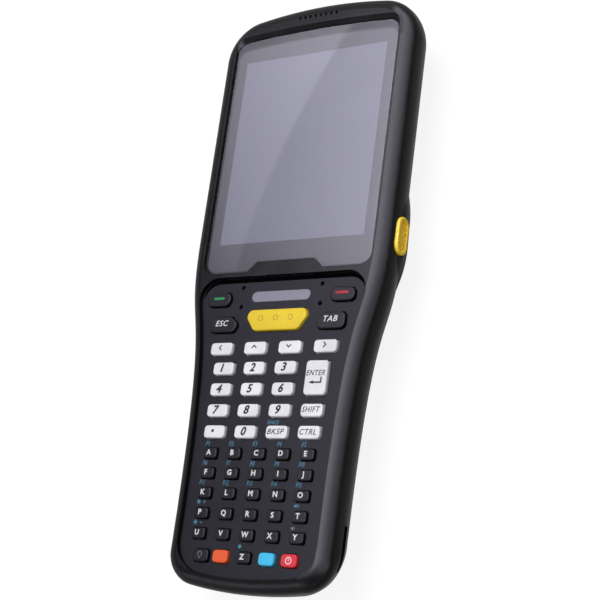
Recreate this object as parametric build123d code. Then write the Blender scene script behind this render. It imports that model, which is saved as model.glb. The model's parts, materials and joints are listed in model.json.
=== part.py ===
"""Portable barcode data terminal: two-shell casing, display, keypad, scanner, battery.

Millimetres. The terminal lies on its back: X to the user's right, Y towards the
head (scanner end), Z out of the display. The origin is the middle of its back.
"""
from build123d import *
import math
import os

# ---------------------------------------------------------------- casing
body_thickness = 29.0
head_rim_width = 5.6            # casing beside the glass
head_margin = 9.65              # casing above the glass
foot_margin = 10.8              # last key row to the foot end
shoulder_above_glass_foot = 11.6    # where the head's straight side ends
waist_above_foot = 21.3         # where the grip's straight side starts
shoulder_pull = 35.5            # Bezier handles of the side curve
waist_pull = 79.3
head_corner_radius = 15.0
foot_corner_radius = 12.0
foot_corner_growth = 4.2        # added below the widest line
corner_shrink = 0.35            # corner radius lost per mm of side inset
head_arc_radius = 165.0
foot_arc_radius = 135.0
front_edge_radius = 4.5
wall = 2.2
back_wall = 2.0
seam_gap = 0.4
seam_recess = 0.4
past = 1.0                      # how far a cut runs past the face it opens

# Sections of the casing: height, inset of sides, inset of ends.
front_draft = 1.1
widest_below_crest = 6.8
parting_below_crest, parting_side, parting_end = 12.8, 1.7, 0.8
belly_height, belly_side, belly_end = 8.5, 6.8, 2.4
chine_height, chine_side, chine_end = 2.6, 11.8, 4.5
back_side, back_end = 16.5, 7.5

# ---------------------------------------------------------------- display
lcd_width = 60.4
lcd_length = 78.4
lcd_gap = 0.3
lcd_side_border = 2.4           # module to the glass edge
lcd_head_border = 3.25
lcd_foot_border = 2.45          # module to the name bar
glass_thickness = 1.1
glass_below_crest = 0.8
glass_corner_radius = 4.2
glass_arch = 1.4                # rise of the arched top edge
glass_gap = 0.2
gasket_thickness = 0.3
bevel_side, bevel_head, bevel_foot = 0.3, 2.6, 0.35
bevel_over = 0.1                # bevel runs past the crest
name_bar_foot_width = 30.0
name_bar_top_width = 22.0
name_bar_height = 3.1
name_bar_drop = 0.25

# ---------------------------------------------------------------- keypad
rim_width = 4.3                 # from the widest outline to the panel
panel_below_glass = 2.0
panel_corner_radius = 7.0
panel_below_crest = 1.7
panel_thickness = 1.2
panel_gap = 0.1
panel_ledge = 1.6
keypad_side_margin = 4.195      # number keys to the panel's edge
keypad_offset = -0.45           # keys sit a little left of the casing's middle
key_gap = 0.3
key_proud = 1.2                 # key top above the panel
key_top_radius = 0.45
key_flange = 0.6
key_flange_thickness = 0.8
key_flange_drop = 0.1
key_travel = 0.6
stem_radius = 1.2
stem_gap = 0.4
membrane_drop = 0.2
membrane_thickness = 0.8
membrane_lip = 1.4
board_gap = 0.8                 # between membrane and board
board_thickness = 1.2
dome_height = 0.2

# Rows are given by the distance between their centres, the first from the panel's top.
light_width, light_height, light_row = 22.8, 3.7, 6.8
light_proud = 0.3
call_key_width, call_key_height = 9.4, 4.9
call_key_slope = 1.2
call_key_corner = 1.9
call_key_margin = 3.68          # to the panel's edge
call_row = 7.3
scan_key_width, scan_key_foot_width, scan_key_height = 23.6, 17.0, 7.1
scan_key_shoulder = 2.5
scan_key_shoulder_width = 1.1
scan_key_corner = 1.9
light_to_scan = 8.3
wing_key_width, wing_key_height = 11.2, 5.5
wing_key_corner = 1.9
wing_key_gap = 3.1              # to the scan key
wing_key_drop = 1.0             # below the scan key's centre
wing_slant = 3.4
arrow_key_width, white_key_height = 8.5, 4.15
arrow_pitch, scan_to_arrow = 13.41, 9.4
digit_key_width = 8.0
digit_pitch_x, digit_pitch_y, arrow_to_digit = 12.07, 7.01, 6.73
digit_rows = 4
white_key_corner = 1.2
enter_key_width = 8.1
letter_key_width, letter_key_height = 5.15, 3.5
letter_pitch_x, letter_pitch_y, digit_to_letter = 9.27, 6.44, 7.0
letter_rows = 5
letter_key_corner = 1.0
letter_to_bottom = 6.88
bottom_key_width, bottom_key_height = 5.8, 4.0
bottom_key_corner = 1.3
orange_gap, blue_gap = 3.3, 3.1         # to the key Z
backlight_gap, power_gap = 1.8, 2.5     # to the orange and the blue key
sensor_hole_radius = 0.75
sensor_from_light = 4.0
sensor_above_light, sensor_below_light = 3.4, 3.2

# ---------------------------------------------------------------- scan triggers
trigger_length = 12.7
trigger_height = 6.7
trigger_above_glass_foot = 11.1
trigger_below_crest = 7.8
trigger_gap = 0.3
trigger_proud = 0.95            # beyond the widest line of the casing
trigger_edge_radius = 0.5
trigger_rim, trigger_tray_depth = 1.1, 0.7
trigger_flange = 0.6
trigger_flange_thickness = 0.8
trigger_travel = 0.8
trigger_stop = 1.0              # room behind the pressed trigger
trigger_rib_width, trigger_rib_height = 0.7, 0.4
trigger_rib_pitch, trigger_rib_tilt = 2.1, 45
trigger_ribs = 5

# Swelling of the casing's side round a trigger: how far it stands out at each height.
pod_rise = 2.8                  # top of the swelling above the widest line
pod_sunk = 0.6
pod_widest_proud, pod_parting_proud, pod_belly_proud = 0.3, 1.6, 1.3
pod_head_reach, pod_head_shoulder = 19.0, 11.1      # from the trigger's middle
pod_foot_reach, pod_foot_shoulder = 19.6, 7.2
pod_head_fall, pod_slope, pod_foot_fall = 2.4, 0.5, 4.2
pod_corner_radius = 35.0

# ---------------------------------------------------------------- casing details
earpiece_slots = 8
earpiece_pitch = 2.1
earpiece_slot_width, earpiece_slot_height = 0.75, 1.2
earpiece_slot_corner = 0.3
earpiece_from_head = 5.0
side_slot_length, side_slot_height, side_slot_depth = 14.0, 2.6, 1.2
side_slot_from_foot, side_slot_below_crest = 9.2, 8.8
screw_head_radius, screw_head_thickness = 1.9, 1.3
screw_drive_radius, screw_drive_depth = 0.95, 0.65
screw_radius, screw_length = 1.0, 9.0
screw_gap = 0.15
screw_seat_below_parting = 3.2
boss_radius = 2.4
boss_gap = 0.4                  # round a boss in the boards and the frame
head_screw_from_side, head_screw_from_head = 18.2, 6.4
bridge_screw_from_side, bridge_screw_above_glass_foot = 9.8, 0.2
foot_screw_from_side, foot_screw_from_foot = 9.1, 14.3

# ---------------------------------------------------------------- inner pieces
chassis_thickness = 1.0
chassis_overlap = 2.0
chassis_step_width = 40.0
pillar_radius = 2.0
pillar_from_side = 6.2
pillar_from_foot, pillar_from_head = 4.4, 8.8
main_board_inset = 0.2          # shorter than the display module, at each end
main_board_thickness = 1.2
main_board_below_chassis = 4.4
shield_width, shield_length, shield_height = 34.0, 40.0, 2.6
shield_edge_radius = 0.6
scanner_width, scanner_length, scanner_height = 22.0, 12.0, 8.0
scanner_gap = 1.8
scanner_lens_radius, aimer_lens_radius, scanner_lens_x = 2.0, 1.6, 5.5
scanner_rest_inset = 2.0
scan_window_width, scan_window_height = 24.0, 7.2
scan_window_below_parting = 0.8
scan_window_thickness = 1.0
scan_window_recess = 0.6
window_fit = 0.08
window_ledge = 1.2
earpiece_width, earpiece_depth, earpiece_height = 18.0, 4.0, 2.0
speaker_width, speaker_length, speaker_height = 20.0, 14.0, 4.0
speaker_edge_radius = 0.5
speaker_from_head = 32.0
speaker_slots, speaker_slot_pitch = 5, 2.6
speaker_slot_width, speaker_slot_length = 1.1, 11.0
usb_width, usb_length, usb_height = 9.0, 6.0, 3.0
usb_gap = 0.3
usb_shell = 0.45
usb_mouth_depth = 3.0
usb_tongue_width, usb_tongue_thickness = 4.5, 0.6
switch_width, switch_length, switch_height = 3.8, 6.0, 3.2
switch_gap = 0.3
switch_landing = 2.0            # board under each switch

# ---------------------------------------------------------------- battery
battery_width, battery_length, battery_height = 34.0, 62.0, 12.4
battery_gap = 0.4
battery_corner_radius = 1.6
bay_roof = 0.6
door_side_ledge, door_end_ledge = 6.0, 4.0      # door beyond the battery
door_corner_radius = 5.0
door_from_foot = 16.6
door_recess = 0.4
door_thickness = 1.6
door_gap = 0.3
door_seat_gap = 0.3
hinge_offset = 2.6              # hinge axis beyond the door's edge
hinge_barrel_radius = 1.3
hinge_barrel_length = 12.0
hinge_arm_reach = 2.2           # arm onto the door
hinge_lug_length = 3.6
hinge_cover = 1.1               # casing round the hinge and past its pin
hinge_clearance = 0.35
hinge_nose_gap = 0.2
pin_radius = 0.5
pin_running_gap = 0.05
pin_seat_gap = 0.02

# ---------------------------------------------------------------- port cover
flap_width, flap_height = 16.0, 6.4
flap_hinge_below_parting = 2.0
flap_recess = 0.2
flap_thickness = 1.2
flap_seat_gap = 0.2
flap_gap = 0.3
flap_barrel_radius = 0.8
flap_hinge_offset = 1.2
flap_neck = 1.0                 # overlap of the hinge arm and the cover
flap_pin_reach = 2.4

# ---------------------------------------------------------------- worked-out places
glass_width = lcd_width + 2 * lcd_side_border
glass_height = name_bar_height + lcd_foot_border + lcd_length + lcd_head_border
scan_row = light_row + light_to_scan
wing_row = scan_row + wing_key_drop
arrow_row = scan_row + scan_to_arrow
digit_row = arrow_row + arrow_to_digit
letter_row = digit_row + (digit_rows - 1) * digit_pitch_y + digit_to_letter
bottom_row = letter_row + (letter_rows - 1) * letter_pitch_y + letter_to_bottom
head_width = glass_width + 2 * head_rim_width
digits_half = 1.5 * digit_pitch_x + digit_key_width / 2
grip_width = 2 * (digits_half + keypad_side_margin + rim_width)
body_length = head_margin + glass_height + panel_below_glass + bottom_row + foot_margin
head_end = body_length / 2
foot_end = -body_length / 2
crest = body_thickness
widest_height = crest - widest_below_crest
parting_height = crest - parting_below_crest
seam_height = parting_height - seam_gap
glass_top = crest - glass_below_crest
glass_base = glass_top - glass_thickness
display_seat = glass_base - gasket_thickness
glass_head = head_end - head_margin
glass_foot = glass_head - glass_height
panel_head = glass_foot - panel_below_glass
panel_top = crest - panel_below_crest
panel_base = panel_top - panel_thickness
key_top = panel_top + key_proud
flange_top = panel_base - key_flange_drop
flange_base = flange_top - key_flange_thickness
ceiling = flange_base - key_travel
membrane_top = ceiling - membrane_drop
membrane_base = membrane_top - membrane_thickness
board_top = membrane_base - board_gap
board_base = board_top - board_thickness
stem_base = board_top + dome_height + key_travel
chassis_top = ceiling
chassis_base = chassis_top - chassis_thickness
lcd_foot = glass_foot + name_bar_height + lcd_foot_border
lcd_head = lcd_foot + lcd_length
lcd_middle = (lcd_foot + lcd_head) / 2
main_board_top = chassis_base - main_board_below_chassis
main_board_base = main_board_top - main_board_thickness
trigger_y = glass_foot + trigger_above_glass_foot
trigger_z = crest - trigger_below_crest
flange_outer = head_width / 2 - wall - trigger_gap
flange_inner = flange_outer - trigger_flange_thickness
switch_outer = flange_inner - trigger_travel - switch_gap
scan_window_base = parting_height - scan_window_below_parting - scan_window_height
scanner_middle = scan_window_base + scan_window_height / 2
screw_seat = parting_height - screw_seat_below_parting
door_width = battery_width + 2 * door_side_ledge
door_length = battery_length + 2 * door_end_ledge
door_foot = foot_end + door_from_foot
door_head = door_foot + door_length
door_middle = (door_foot + door_head) / 2
door_inside = door_recess + door_thickness
battery_base = door_inside + battery_gap
bay_top = battery_base + battery_height + battery_gap
hinge_y = door_head + hinge_offset
hinge_z = door_recess + hinge_barrel_radius
hinge_half = hinge_barrel_length / 2
lug_half = hinge_half + hinge_clearance + hinge_lug_length
pin_half = lug_half - hinge_cover
flap_hinge_z = parting_height - flap_hinge_below_parting
flap_head = flap_hinge_z - flap_hinge_offset
flap_base = flap_head - flap_height
port_middle = flap_base + flap_height / 2
big = 2 * body_length


def at_height(shape, z):
    return Pos(0, 0, z) * shape


def block(x0, x1, y0, y1, z0, z1):
    """Box between two corners."""
    box = Box(x1 - x0, y1 - y0, z1 - z0)
    return Pos((x0 + x1) / 2, (y0 + y1) / 2, (z0 + z1) / 2) * box


def slab(z0, z1):
    """Everything between two heights."""
    return block(-big, big, -big, big, z0, z1)


def bar(radius, x0, x1, y, z):
    """Round bar along X."""
    turned = Pos((x0 + x1) / 2, y, z) * Rot(0, 90, 0)
    return turned * Cylinder(radius, x1 - x0)


def both_sides(shape):
    return shape + mirror(shape, Plane.YZ)


def joined(lines):
    """One closed wire out of lines given in any order."""
    return Wire([line.edge() for line in lines])


def prism(face, z0, z1):
    return extrude(at_height(face, z0), z1 - z0)


# ---------------------------------------------------------------- outline
def tangent_corner(half, end, radius, arc_radius, sign):
    """Corner between a straight side and an arched end: side point, mid point, end point."""
    centre_x = half - radius
    reach = math.sqrt((arc_radius - radius) ** 2 - centre_x ** 2)
    centre_y = end - arc_radius + reach
    angle = math.atan2(reach, centre_x)
    points = [(half, centre_y)]
    for turn in (angle / 2, angle):
        points.append((centre_x + radius * math.cos(turn),
                       centre_y + radius * math.sin(turn)))
    return [(x, sign * y) for x, y in points]


def body_outline(side, end, foot_growth=0.0):
    """Wire of the casing's plan, with its sides and ends moved inwards."""
    half_head = head_width / 2 - side
    half_grip = grip_width / 2 - side
    head_radius = head_corner_radius - corner_shrink * side
    foot_radius = foot_corner_radius + foot_growth - corner_shrink * side
    head = tangent_corner(half_head, head_end - end, head_radius, head_arc_radius, 1)
    foot = tangent_corner(half_grip, -foot_end - end, foot_radius, foot_arc_radius, -1)
    shoulder = glass_foot + shoulder_above_glass_foot
    waist = foot_end + waist_above_foot
    right = [
        ThreePointArc(head[2], head[1], head[0]),
        Line(head[0], (half_head, shoulder)),
        Bezier((half_head, shoulder), (half_head, shoulder - shoulder_pull),
               (half_grip, waist + waist_pull), (half_grip, waist)),
        Line((half_grip, waist), foot[0]),
        ThreePointArc(foot[0], foot[1], foot[2]),
    ]
    left = [mirror(edge, Plane.YZ) for edge in right]
    head_arc = ThreePointArc((-head[2][0], head[2][1]), (0, head_end - end), head[2])
    foot_arc = ThreePointArc((-foot[2][0], foot[2][1]), (0, foot_end + end), foot[2])
    return joined([head_arc, foot_arc] + right + left)


def body_solid(extra=0.0, lift=0.0):
    """The casing's full form, or the form that lies a wall's thickness inside it."""
    sections = [
        (crest, front_draft, front_draft, 0),
        (widest_height, 0, 0, 0),
        (parting_height, parting_side, parting_end, foot_corner_growth),
        (belly_height, belly_side, belly_end, foot_corner_growth),
        (chine_height + lift, chine_side, chine_end, foot_corner_growth),
        (lift, back_side, back_end, foot_corner_growth),
    ]
    wires = [at_height(body_outline(side + extra, end + extra, growth), z)
             for z, side, end, growth in sections]
    return Solid.make_loft(wires)


def screen_face(side, head, foot):
    """Outline of the display glass, grown by a margin on its sides and ends."""
    half = glass_width / 2 + side
    top = glass_head + head
    base = glass_foot - foot
    shoulder = top - glass_arch
    outline = joined([
        ThreePointArc((-half, shoulder), (0, top), (half, shoulder)),
        Line((half, shoulder), (half, base)),
        Line((half, base), (-half, base)),
        Line((-half, base), (-half, shoulder)),
    ])
    face = make_face(outline)
    return fillet(face.vertices(), glass_corner_radius + side)


def name_bar_face(grow):
    """Plain bar of the casing that stands up into the foot of the glass."""
    foot = name_bar_foot_width / 2 + grow
    top = name_bar_top_width / 2 + grow
    base = glass_foot - bevel_foot - glass_gap
    head = glass_foot + name_bar_height + grow
    outline = Polyline((-foot, base), (foot, base), (top, head), (-top, head), close=True)
    return make_face(outline)


def panel_face(inset):
    """Plan of the keypad panel: the casing's own outline, cut off below the display."""
    plan = make_face(body_outline(rim_width + inset, rim_width + inset))
    window = Pos(0, panel_head - inset - body_length / 2) * Rectangle(head_width, body_length)
    face = plan & window
    top = face.vertices().sort_by(Axis.Y)[-2:]
    return fillet(top, panel_corner_radius - inset)


# ---------------------------------------------------------------- keys
def row_y(distance):
    return panel_head - distance


def slanted_face(points, radius):
    return fillet(make_face(Polyline(*points, close=True)).vertices(), radius)


def rounded(width, height, radius):
    return RectangleRounded(width, height, radius)


def call_key_face(grow):
    width = call_key_width / 2 + grow
    height = call_key_height / 2 + grow
    points = [(-width, height - call_key_slope / 2), (width - call_key_slope, height),
              (width, 0), (width - call_key_slope, -height), (-width, -height)]
    return slanted_face(points, call_key_corner)


def wing_key_face(grow):
    """Key beside the scan key: its inner end follows the scan key's slanted end."""
    width = wing_key_width / 2 + grow
    height = wing_key_height / 2 + grow
    points = [(-width, height), (width - wing_slant, height), (width, 0),
              (width - wing_slant / 2, -height), (-width, -height)]
    return slanted_face(points, wing_key_corner)


def scan_key_face(grow):
    width = scan_key_width / 2 + grow
    foot = scan_key_foot_width / 2 + grow
    height = scan_key_height / 2 + grow
    shoulder = height - scan_key_shoulder
    top = width - scan_key_shoulder_width
    points = [(-top, height), (top, height), (width, shoulder), (foot, -height),
              (-foot, -height), (-width, shoulder)]
    return slanted_face(points, scan_key_corner)


def white_key_face(width, height):
    return lambda grow: rounded(width + 2 * grow, height + 2 * grow, white_key_corner)


def black_key_face(grow):
    return rounded(letter_key_width + 2 * grow, letter_key_height + 2 * grow,
                   letter_key_corner)


def bottom_key_face(grow):
    return rounded(bottom_key_width + 2 * grow, bottom_key_height + 2 * grow,
                   bottom_key_corner)


def flipped(face_of):
    return lambda grow: mirror(face_of(grow), Plane.YZ)


def panel_half_width(y):
    across = panel_face(0) & Line((0, y), (head_width, y))
    return across.bounding_box().max.X


def key_places():
    """Every key: node, outline function and centre."""
    digit = white_key_face(digit_key_width, white_key_height)
    arrow = white_key_face(arrow_key_width, white_key_height)
    enter = white_key_face(enter_key_width, white_key_height + digit_pitch_y)
    call_key_x = panel_half_width(row_y(call_row)) - call_key_margin - call_key_width / 2
    wing_key_x = scan_key_width / 2 + wing_key_gap + wing_key_width / 2
    orange_key_x = (letter_key_width + bottom_key_width) / 2 + orange_gap
    blue_key_x = (letter_key_width + bottom_key_width) / 2 + blue_gap
    keys = [
        ("scan_key", scan_key_face, 0, row_y(scan_row)),
        ("call_key", call_key_face, -call_key_x, row_y(call_row)),
        ("end_key", flipped(call_key_face), call_key_x, row_y(call_row)),
        ("escape_key", wing_key_face, -wing_key_x, row_y(wing_row)),
        ("tab_key", flipped(wing_key_face), wing_key_x, row_y(wing_row)),
    ]
    for place, name in enumerate(["left", "up", "down", "right"]):
        x = (place - 1.5) * arrow_pitch
        keys.append((f"arrow_{name}_key", arrow, x, row_y(arrow_row)))
    rows = [["digit_1", "digit_2", "digit_3"],
            ["digit_4", "digit_5", "digit_6"],
            ["digit_7", "digit_8", "digit_9", "shift"],
            ["dot", "digit_0", "backspace", "control"]]
    for line, names in enumerate(rows):
        for column, name in enumerate(names):
            x = (column - 1.5) * digit_pitch_x
            keys.append((f"{name}_key", digit, x, row_y(digit_row + line * digit_pitch_y)))
    keys.append(("enter_key", enter, 1.5 * digit_pitch_x, row_y(digit_row + digit_pitch_y / 2)))
    for line, name in enumerate(["a_to_e", "f_to_j", "k_to_o", "p_to_t", "u_to_y"]):
        for column in range(5):
            x = (column - 2) * letter_pitch_x
            keys.append((f"letter_keys_{name}", black_key_face, x,
                         row_y(letter_row + line * letter_pitch_y)))
    keys.append(("letter_key_z", black_key_face, 0, row_y(bottom_row)))
    for name, x in [("backlight", -orange_key_x - bottom_key_width - backlight_gap),
                    ("orange", -orange_key_x), ("blue", blue_key_x),
                    ("power", blue_key_x + bottom_key_width + power_gap)]:
        keys.append((f"{name}_key", bottom_key_face, x, row_y(bottom_row)))
    return [(name, face_of, x + keypad_offset, y) for name, face_of, x, y in keys]


def key_solid(face_of, x, y):
    """Cap through the panel, flange under it and a stem over its switch dome."""
    cap = prism(face_of(0), flange_base, key_top)
    cap = fillet(cap.edges().group_by(Axis.Z)[-1], key_top_radius)
    flange = prism(face_of(key_flange), flange_base, flange_top)
    stem = prism(Circle(stem_radius), stem_base, flange_base)
    return Pos(x, y, 0) * (cap + flange + stem)


def key_nodes():
    nodes = {}
    for name, face_of, x, y in key_places():
        nodes.setdefault(name, []).append(key_solid(face_of, x, y))
    return nodes


# ---------------------------------------------------------------- casing shells
def screw_places():
    places = [(head_width / 2 - head_screw_from_side, head_end - head_screw_from_head),
              (head_width / 2 - bridge_screw_from_side,
               glass_foot + bridge_screw_above_glass_foot),
              (grip_width / 2 - foot_screw_from_side, foot_end + foot_screw_from_foot)]
    return [(side * x, y) for x, y in places for side in (1, -1)]


def columns(radius, z0, z1):
    """One upright cylinder at each casing screw."""
    return prism(Sketch() + [Pos(x, y) * Circle(radius) for x, y in screw_places()], z0, z1)


def trigger_face(grow):
    """Rounded outline of a side trigger, in the plane of the casing's side."""
    outline = SlotOverall(trigger_length + 2 * grow, trigger_height + 2 * grow)
    return Plane((0, trigger_y, trigger_z), x_dir=(0, 1, 0), z_dir=(1, 0, 0)) * outline


def trigger_block(grow, x0, x1):
    return extrude(Pos(x0, 0, 0) * trigger_face(grow), x1 - x0)


def pod_face(side, proud):
    """Plan of the right-hand swelling at one height."""
    top = head_width / 2 - side + proud
    inside = top - 2 * pod_foot_fall
    points = [(inside, trigger_y + pod_head_reach),
              (top - pod_head_fall, trigger_y + pod_head_reach),
              (top - pod_slope, trigger_y + pod_head_shoulder),
              (top, trigger_y - pod_foot_shoulder),
              (top - pod_foot_fall, trigger_y - pod_foot_reach),
              (inside, trigger_y - pod_foot_reach)]
    face = make_face(Polyline(*points, close=True))
    return fillet(face.vertices().sort_by(Axis.X)[-2:], pod_corner_radius)


def side_pod():
    """Low swelling of the casing's right side round the trigger."""
    sections = [
        (widest_height + pod_rise, front_draft, 0),
        (widest_height, 0, pod_widest_proud),
        (parting_height, parting_side, pod_parting_proud),
        (belly_height, belly_side, pod_belly_proud),
        (chine_height, chine_side, -pod_sunk),
    ]
    return loft([at_height(pod_face(side, proud), z) for z, side, proud in sections])


def side_slots(outer):
    """Shallow guide slots low on both sides, near the foot."""
    y0 = foot_end + side_slot_from_foot
    z0 = crest - side_slot_below_crest - side_slot_height / 2
    zone = both_sides(block(0, grip_width, y0, y0 + side_slot_length,
                            z0, z0 + side_slot_height))
    return (outer & zone) - body_solid(side_slot_depth)


def lcd_window():
    half = lcd_width / 2 + lcd_gap
    return block(-half, half, lcd_foot - lcd_gap, lcd_head + lcd_gap, 0, crest)


def display_cuts():
    """Glass seat with its bevelled edge, and the window for the display module."""
    seat = prism(screen_face(glass_gap, glass_gap, glass_gap), display_seat, crest + past)
    low = at_height(screen_face(glass_gap, glass_gap, glass_gap), glass_top)
    high = at_height(screen_face(bevel_side, bevel_head, bevel_foot), crest + bevel_over)
    bevel = loft([low, high])
    name_bar = prism(name_bar_face(0), display_seat, crest - name_bar_drop)
    return (seat + bevel - name_bar) + lcd_window()


def keypad_cuts():
    pocket = prism(panel_face(-panel_gap), panel_base, crest + past)
    opening = prism(panel_face(panel_ledge), 0, crest)
    return pocket + opening


def earpiece_cuts():
    slots = [Pos((place - (earpiece_slots - 1) / 2) * earpiece_pitch,
                 head_end - earpiece_from_head)
             * RectangleRounded(earpiece_slot_width, earpiece_slot_height,
                                earpiece_slot_corner)
             for place in range(earpiece_slots)]
    return prism(Sketch() + slots, 0, crest + past)


def front_housing(outer, inner):
    shell = outer & slab(parting_height, crest + past)
    shell = fillet(shell.edges().group_by(Axis.Z)[-1], front_edge_radius)
    shell += both_sides(side_pod()) & slab(parting_height, crest)
    cavity = inner & slab(0, ceiling)
    bosses = columns(boss_radius, parting_height, ceiling) & outer
    shell = shell - cavity + bosses
    pilot = columns(screw_radius + pin_seat_gap, parting_height - past,
                    screw_seat + screw_length + past)
    pocket_inner = flange_inner - trigger_travel - trigger_stop
    slide = trigger_block(trigger_gap, pocket_inner, head_width)
    pocket = trigger_block(trigger_flange + trigger_gap, pocket_inner, head_width / 2 - wall)
    shell -= display_cuts()
    shell -= keypad_cuts()
    shell -= earpiece_cuts()
    shell -= pilot
    shell -= both_sides(slide + pocket)
    shell -= side_slots(outer)
    return shell


def door_zone(margin):
    face = RectangleRounded(door_width + 2 * margin, door_length + 2 * margin,
                            door_corner_radius + margin)
    return prism(Pos(0, door_middle) * face, -past, seam_height)


def battery_zone(margin, z0, z1):
    side = battery_width / 2 + margin
    end = battery_length / 2 + margin
    return block(-side, side, door_middle - end, door_middle + end, z0, z1)


def door_lining(outer):
    """Casing behind the door's edges and round the battery."""
    side = door_width / 2 + wall
    around = block(-side, side, door_foot - wall, door_head + wall, 0, seam_height)
    depth = door_inside + door_seat_gap + wall
    lining = (outer & around) - body_solid(depth, depth)
    bay = battery_zone(battery_gap + wall, 0, bay_top + bay_roof) & outer
    return lining + bay


def hinge_block(outer):
    reach = hinge_barrel_radius + hinge_clearance + hinge_cover
    return block(-lug_half, lug_half, door_head, hinge_y + reach, 0, hinge_z + reach) & outer


def hinge_notch():
    """Room for the door's barrel and arm to turn in."""
    half = hinge_half + hinge_clearance
    reach = hinge_barrel_radius + hinge_clearance
    slot = block(-half, half, door_head - hinge_arm_reach, hinge_y, -past, hinge_z + reach)
    foot = block(-half, half, hinge_y - reach, hinge_y + reach, -past, hinge_z)
    return slot + foot + bar(reach, -half, half, hinge_y, hinge_z)


def hinge_nose():
    """What comes off the casing's edge so that the door's edge can turn past it."""
    half = door_width / 2
    far = hinge_offset + wall
    ring = bar(far, -half, half, hinge_y, hinge_z) - bar(
        hinge_offset - hinge_nose_gap, -half, half, hinge_y, hinge_z)
    return ring & block(-half, half, hinge_y - far, hinge_y, -past, hinge_z)


def end_y(height, inset):
    """Y of the casing's foot end at a height, moved inwards."""
    share = (parting_height - height) / (parting_height - belly_height)
    return foot_end + parting_end + share * (belly_end - parting_end) + inset


def flap_axis_y():
    return end_y(flap_hinge_z, flap_recess + flap_barrel_radius + flap_seat_gap)


def flap_zone(margin):
    half = flap_width / 2 + margin
    return block(-half, half, 2 * foot_end, foot_end / 2, flap_base - margin,
                 flap_head + margin)


def flap_notch():
    half = flap_width / 2 + flap_gap
    y = flap_axis_y()
    reach = flap_barrel_radius + flap_gap
    return bar(reach, -half, half, y, flap_hinge_z) + block(
        -half, half, foot_end - past, y, flap_head - flap_gap, flap_hinge_z + reach)


def scan_window_zone(margin):
    half = scan_window_width / 2 + margin
    return block(-half, half, head_end / 2, 2 * head_end, scan_window_base - margin,
                 scan_window_base + scan_window_height + margin)


def scanner_rest():
    """Step of the back casing that carries the scan engine."""
    half = scanner_width / 2 - scanner_rest_inset
    face = window_y(wall + scanner_gap)
    return block(-half, half, face - scanner_length, face, 0,
                 scanner_middle - scanner_height / 2)


def speaker_cuts():
    slots = [Pos(0, head_end - speaker_from_head
                 + (place - (speaker_slots - 1) / 2) * speaker_slot_pitch)
             * SlotOverall(speaker_slot_length, speaker_slot_width)
             for place in range(speaker_slots)]
    return prism(Sketch() + slots, -past, back_wall + past)


def usb_cut():
    half = usb_width / 2 + usb_gap
    return block(-half, half, 2 * foot_end, end_y(port_middle, wall) + usb_length + usb_gap,
                 port_middle - usb_height / 2, port_middle + usb_height / 2 + usb_gap)


def usb_shelf():
    """Floor under the port connector, inside the casing's foot."""
    half = usb_width / 2
    y0 = end_y(port_middle, wall)
    return block(-half, half, y0, y0 + usb_length, 0, port_middle - usb_height / 2)


def rear_housing(outer, inner):
    shell = (outer + both_sides(side_pod())) & slab(-past, seam_height)
    cavity = inner & slab(0, crest)
    posts = columns(boss_radius, back_wall, parting_height) & outer
    added = door_lining(outer) + posts + hinge_block(outer)
    added += (scanner_rest() + usb_shelf()) & outer
    shell = shell - cavity + added
    under_door = door_inside + door_seat_gap
    shell -= door_zone(door_gap) - body_solid(under_door, under_door)
    shell -= battery_zone(battery_gap, 0, bay_top)
    shell -= hinge_notch()
    shell -= hinge_nose()
    shell -= bar(pin_radius + pin_seat_gap, -pin_half, pin_half, hinge_y, hinge_z)
    shell -= columns(screw_head_radius + screw_gap, -past, screw_seat)
    shell -= columns(screw_radius + screw_gap, -past, crest)
    shell -= flap_zone(flap_gap) - body_solid(flap_recess + flap_thickness + flap_seat_gap)
    shell -= flap_notch()
    reach = flap_width / 2 + flap_pin_reach
    shell -= bar(pin_radius + pin_seat_gap, -reach, reach, flap_axis_y(), flap_hinge_z)
    shell -= usb_cut()
    seat_depth = scan_window_recess + scan_window_thickness + window_fit
    shell -= scan_window_zone(window_fit) - body_solid(seat_depth)
    shell -= scan_window_zone(-window_ledge) & slab(0, seam_height)
    shell -= speaker_cuts()
    return shell


def housing_seal(outer, inner):
    ring = (body_solid(seam_recess) - inner) & slab(seam_height, parting_height)
    return ring - columns(boss_radius, 0, crest)


def housing_screws():
    under_head = screw_seat - screw_head_thickness
    heads = columns(screw_head_radius, under_head, screw_seat)
    shafts = columns(screw_radius, under_head + screw_drive_depth, screw_seat + screw_length)
    drive = columns(screw_drive_radius, 0, under_head + screw_drive_depth)
    return heads + shafts - drive


# ---------------------------------------------------------------- display pieces
def display_glass():
    pane = prism(screen_face(0, 0, 0), glass_base, glass_top)
    pane -= prism(name_bar_face(glass_gap), 0, crest)
    return chamfer(pane.faces().sort_by(Axis.Z)[-1].outer_wire().edges(), glass_gap)


def display_gasket():
    frame = prism(screen_face(-glass_gap, -glass_gap, -glass_gap), display_seat, glass_base)
    return frame - lcd_window() - prism(name_bar_face(glass_gap), 0, crest)


def lcd_module():
    half = lcd_width / 2
    return block(-half, half, lcd_foot, lcd_head, chassis_top, glass_base)


# ---------------------------------------------------------------- keypad pieces
def keypad_panel(keys):
    plate = prism(panel_face(0), panel_base, panel_top)
    holes = [Pos(x, y) * face_of(key_gap) for _, face_of, x, y in keys]
    light = Pos(keypad_offset, row_y(light_row))
    holes.append(light * SlotOverall(light_width + 2 * panel_gap,
                                     light_height + 2 * panel_gap))
    sensor_x = light_width / 2 + sensor_from_light
    for drop in (sensor_above_light, -sensor_below_light):
        holes += [light * Pos(side * sensor_x, drop) * Circle(sensor_hole_radius)
                  for side in (1, -1)]
    for hole in holes:
        plate -= prism(hole, panel_base - past, panel_top + past)
    return plate


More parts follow.
